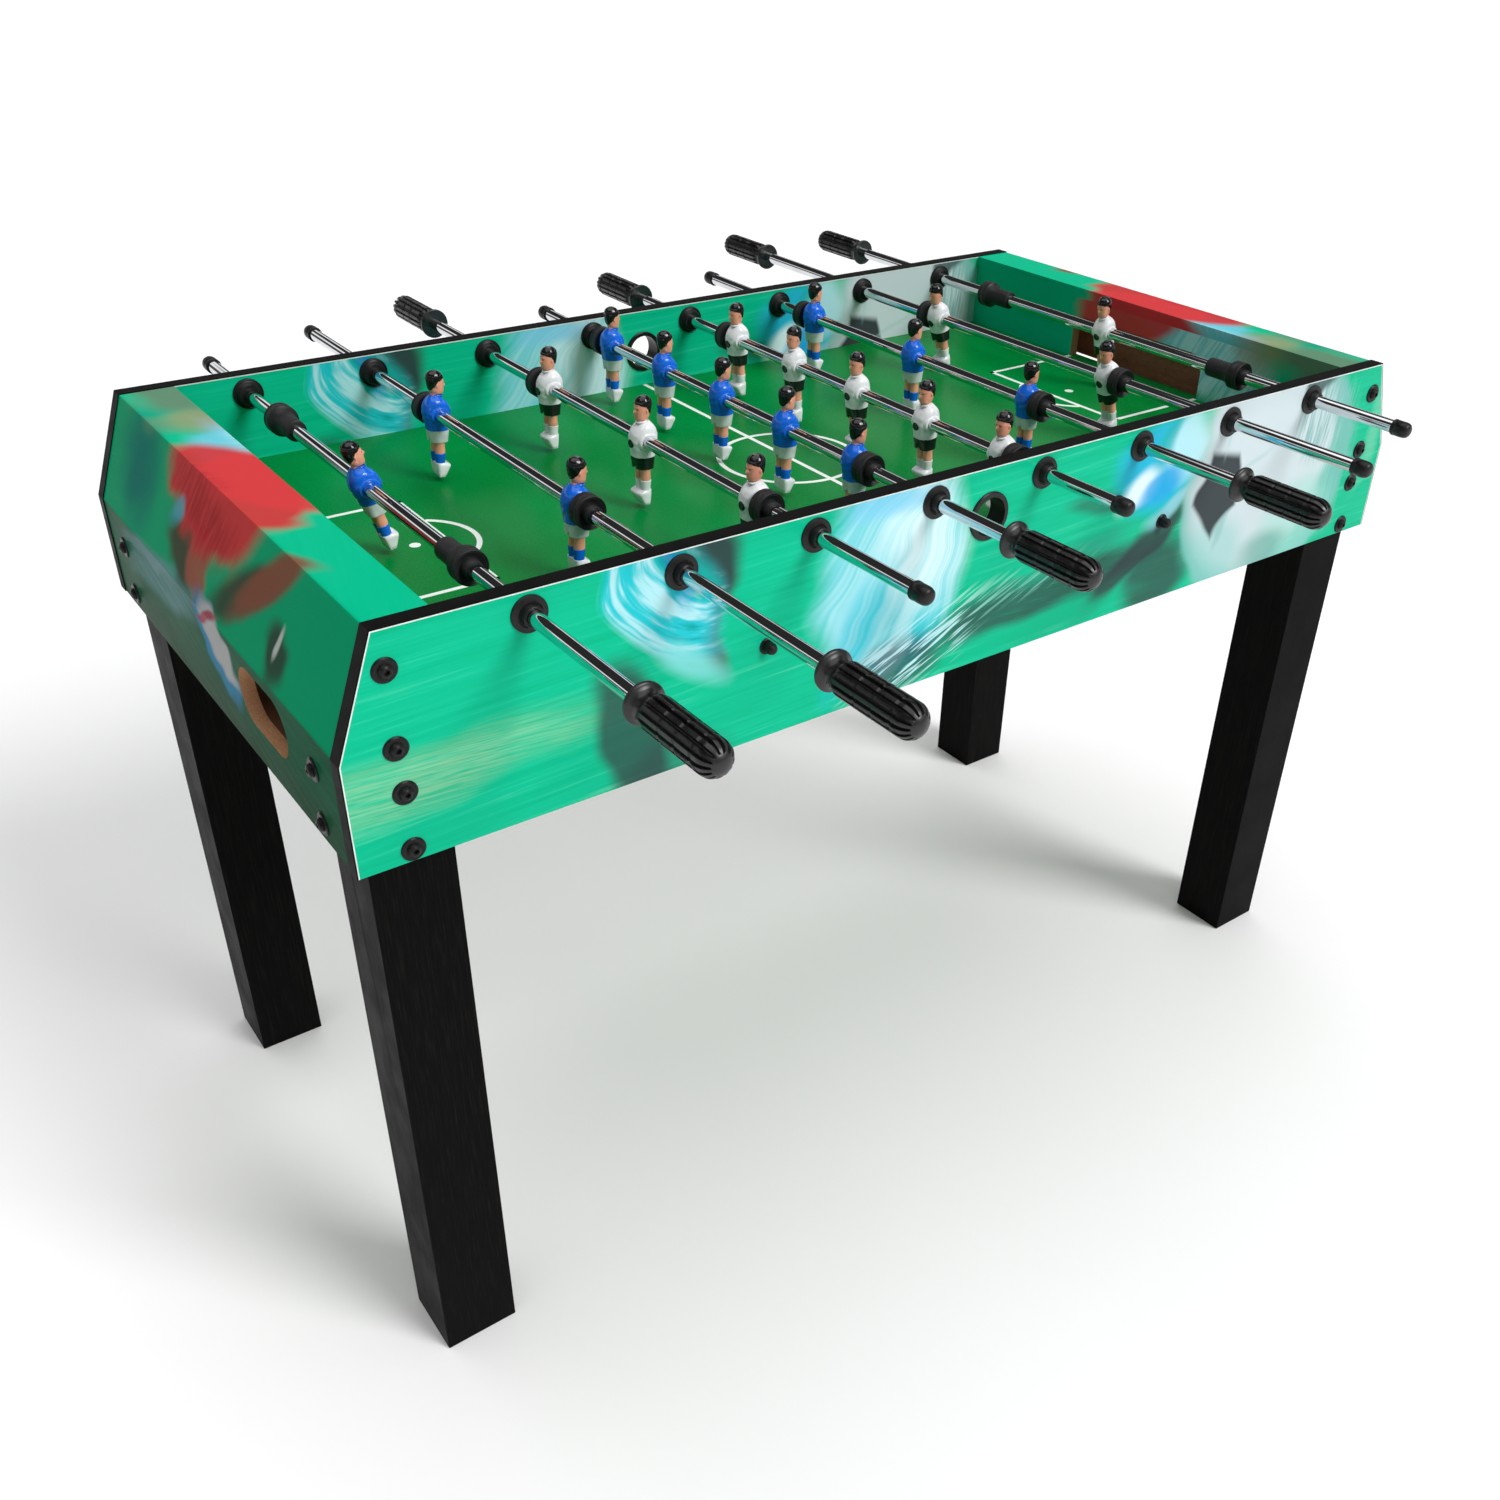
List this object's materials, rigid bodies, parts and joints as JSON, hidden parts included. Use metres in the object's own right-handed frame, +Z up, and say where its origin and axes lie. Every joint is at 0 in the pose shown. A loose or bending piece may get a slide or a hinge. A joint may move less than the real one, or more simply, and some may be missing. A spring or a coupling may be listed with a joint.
{
  "type": "foosball table",
  "caption": "Free-standing table football table: flared printed cabinet on square legs, goals at both ends, chromed rods that slide and spin with moulded men, bumpers and fluted handles.",
  "frame": {"origin": "on the floor, midway between the legs", "axes": "+X along the table towards the white goal, +Y from the front side panel to the back one, +Z up"},
  "size_m": [1.2284, 1.177, 0.7898],
  "materials": {
    "laminate": "glossy printed",
    "edge_band": "satin",
    "field_laminate": "satin",
    "bare_wood": "raw",
    "hardboard": "raw",
    "black_wood": "satin",
    "black_plastic": "glossy",
    "bumper_rubber": "satin",
    "black_steel": "satin",
    "zinc_steel": "plated",
    "chromed_tube": "polished",
    "blue_men": "glossy",
    "white_men": "glossy"
  },
  "bodies": {
    "table": {"side_panel_front": "laminate", "side_panel_back": "laminate", "edge_trims": "edge_band", "goal_wall_left": "laminate", "goal_wall_right": "laminate", "end_hood_left": "laminate", "end_hood_right": "laminate", "inner_battens": "bare_wood", "ball_trays": "hardboard", "playfield": "field_laminate", "leg_front_left": "black_wood", "leg_front_right": "black_wood", "leg_back_left": "black_wood", "leg_back_right": "black_wood", "bearing_bushes": "black_plastic", "bearing_nuts": "black_plastic", "ball_entry_rings": "black_plastic", "panel_bolts": "black_steel", "panel_washers": "black_steel", "insert_nuts": "zinc_steel"},
    "rod_1_bumpers": {"rod_1_bumpers": "bumper_rubber"},
    "rod_1": {"rod_1_tube": "chromed_tube", "rod_1_men": "blue_men", "rod_1_handle": "black_plastic", "rod_1_end_cap": "black_plastic"},
    "rod_2_bumpers": {"rod_2_bumpers": "bumper_rubber"},
    "rod_2": {"rod_2_tube": "chromed_tube", "rod_2_men": "blue_men", "rod_2_handle": "black_plastic", "rod_2_end_cap": "black_plastic"},
    "rod_3_bumpers": {"rod_3_bumpers": "bumper_rubber"},
    "rod_3": {"rod_3_tube": "chromed_tube", "rod_3_men": "white_men", "rod_3_handle": "black_plastic", "rod_3_end_cap": "black_plastic"},
    "rod_4_bumpers": {"rod_4_bumpers": "bumper_rubber"},
    "rod_4": {"rod_4_tube": "chromed_tube", "rod_4_men": "blue_men", "rod_4_handle": "black_plastic", "rod_4_end_cap": "black_plastic"},
    "rod_5_bumpers": {"rod_5_bumpers": "bumper_rubber"},
    "rod_5": {"rod_5_tube": "chromed_tube", "rod_5_men": "white_men", "rod_5_handle": "black_plastic", "rod_5_end_cap": "black_plastic"},
    "rod_6_bumpers": {"rod_6_bumpers": "bumper_rubber"},
    "rod_6": {"rod_6_tube": "chromed_tube", "rod_6_men": "blue_men", "rod_6_handle": "black_plastic", "rod_6_end_cap": "black_plastic"},
    "rod_7_bumpers": {"rod_7_bumpers": "bumper_rubber"},
    "rod_7": {"rod_7_tube": "chromed_tube", "rod_7_men": "white_men", "rod_7_handle": "black_plastic", "rod_7_end_cap": "black_plastic"},
    "rod_8_bumpers": {"rod_8_bumpers": "bumper_rubber"},
    "rod_8": {"rod_8_tube": "chromed_tube", "rod_8_men": "white_men", "rod_8_handle": "black_plastic", "rod_8_end_cap": "black_plastic"}
  },
  "joints": [
    {"name": "rod_1_slide", "type": "slide", "parent": "table", "child": "rod_1_bumpers", "axis": [0, 1, 0], "range_m": [-0.0636, 0.0716]},
    {"name": "rod_1_spin", "type": "hinge", "parent": "rod_1_bumpers", "child": "rod_1", "pos_m": [-0.455, 0, 0.7485], "axis": [0, 1, 0], "continuous": true},
    {"name": "rod_2_slide", "type": "slide", "parent": "table", "child": "rod_2_bumpers", "axis": [0, 1, 0], "range_m": [-0.1087, 0.1127]},
    {"name": "rod_2_spin", "type": "hinge", "parent": "rod_2_bumpers", "child": "rod_2", "pos_m": [-0.325, 0, 0.7485], "axis": [0, 1, 0], "continuous": true},
    {"name": "rod_3_slide", "type": "slide", "parent": "table", "child": "rod_3_bumpers", "axis": [0, 1, 0], "range_m": [-0.0332, 0.1002]},
    {"name": "rod_3_spin", "type": "hinge", "parent": "rod_3_bumpers", "child": "rod_3", "pos_m": [-0.195, 0, 0.7485], "axis": [0, 1, 0], "continuous": true},
    {"name": "rod_4_slide", "type": "slide", "parent": "table", "child": "rod_4_bumpers", "axis": [0, 1, 0], "range_m": [-0.0577, 0.0037]},
    {"name": "rod_4_spin", "type": "hinge", "parent": "rod_4_bumpers", "child": "rod_4", "pos_m": [-0.065, 0, 0.7485], "axis": [0, 1, 0], "continuous": true},
    {"name": "rod_5_slide", "type": "slide", "parent": "table", "child": "rod_5_bumpers", "axis": [0, 1, 0], "range_m": [-0.0014, 0.06]},
    {"name": "rod_5_spin", "type": "hinge", "parent": "rod_5_bumpers", "child": "rod_5", "pos_m": [0.065, 0, 0.7485], "axis": [0, 1, 0], "continuous": true},
    {"name": "rod_6_slide", "type": "slide", "parent": "table", "child": "rod_6_bumpers", "axis": [0, 1, 0], "range_m": [-0.1007, 0.0327]},
    {"name": "rod_6_spin", "type": "hinge", "parent": "rod_6_bumpers", "child": "rod_6", "pos_m": [0.195, 0, 0.7485], "axis": [0, 1, 0], "continuous": true},
    {"name": "rod_7_slide", "type": "slide", "parent": "table", "child": "rod_7_bumpers", "axis": [0, 1, 0], "range_m": [-0.1127, 0.1087]},
    {"name": "rod_7_spin", "type": "hinge", "parent": "rod_7_bumpers", "child": "rod_7", "pos_m": [0.325, 0, 0.7485], "axis": [0, 1, 0], "continuous": true},
    {"name": "rod_8_slide", "type": "slide", "parent": "table", "child": "rod_8_bumpers", "axis": [0, 1, 0], "range_m": [-0.0596, 0.0756]},
    {"name": "rod_8_spin", "type": "hinge", "parent": "rod_8_bumpers", "child": "rod_8", "pos_m": [0.455, 0, 0.7485], "axis": [0, 1, 0], "continuous": true}
  ]
}
